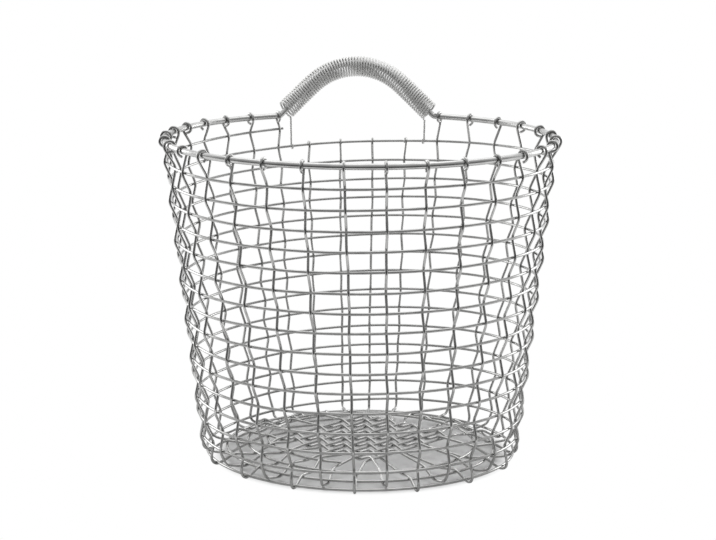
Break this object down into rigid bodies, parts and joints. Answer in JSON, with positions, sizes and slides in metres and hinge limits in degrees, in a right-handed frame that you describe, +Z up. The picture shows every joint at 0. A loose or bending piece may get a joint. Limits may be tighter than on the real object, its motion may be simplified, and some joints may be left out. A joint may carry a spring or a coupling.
{
  "type": "wire basket",
  "caption": "Round tapered storage basket hand-woven from steel wire, open at the top, with a woven base and one looped handle wound with a wire coil",
  "frame": {"origin": "on the basket's axis, on the surface that it stands on", "axes": "+Z up, out of the mouth; +Y towards the handle; +X to the right when the handle is at the back"},
  "size_m": [0.3241, 0.3272, 0.3116],
  "materials": {
    "rim_steel": "bright drawn steel wire",
    "grip_steel": "bright drawn steel wire",
    "weave_steel": "bright drawn steel wire"
  },
  "bodies": {
    "root": {"rim_wire": "rim_steel", "grip_coil": "grip_steel", "weft_01": "weave_steel", "weft_02": "weave_steel", "weft_03": "weave_steel", "weft_04": "weave_steel", "weft_05": "weave_steel", "weft_06": "weave_steel", "weft_07": "weave_steel", "weft_08": "weave_steel", "warp_01": "weave_steel", "warp_02": "weave_steel", "warp_03": "weave_steel", "warp_04": "weave_steel", "warp_05": "weave_steel", "warp_06": "weave_steel", "warp_07": "weave_steel", "warp_08": "weave_steel", "warp_09": "weave_steel", "warp_10": "weave_steel", "warp_11": "weave_steel", "warp_12": "weave_steel", "warp_13": "weave_steel", "warp_14": "weave_steel", "warp_15": "weave_steel", "warp_16": "weave_steel", "warp_17": "weave_steel", "warp_18": "weave_steel", "warp_19": "weave_steel", "warp_20": "weave_steel", "warp_21": "weave_steel", "warp_22": "weave_steel", "warp_23": "weave_steel", "warp_24": "weave_steel", "warp_25": "weave_steel", "warp_26": "weave_steel", "warp_27": "weave_steel", "warp_28": "weave_steel", "warp_29": "weave_steel", "warp_30": "weave_steel", "warp_31": "weave_steel", "warp_32": "weave_steel", "warp_33": "weave_steel", "base_straight_01": "weave_steel", "base_straight_02": "weave_steel", "base_straight_03": "weave_steel", "base_straight_04": "weave_steel", "base_straight_05": "weave_steel", "base_straight_06": "weave_steel", "base_straight_07": "weave_steel", "base_straight_08": "weave_steel", "base_zigzag_01": "weave_steel", "base_zigzag_02": "weave_steel", "base_zigzag_03": "weave_steel", "base_zigzag_04": "weave_steel", "base_zigzag_05": "weave_steel", "base_zigzag_06": "weave_steel", "base_zigzag_07": "weave_steel", "base_zigzag_08": "weave_steel", "base_added_01": "weave_steel"}
  },
  "joints": []
}
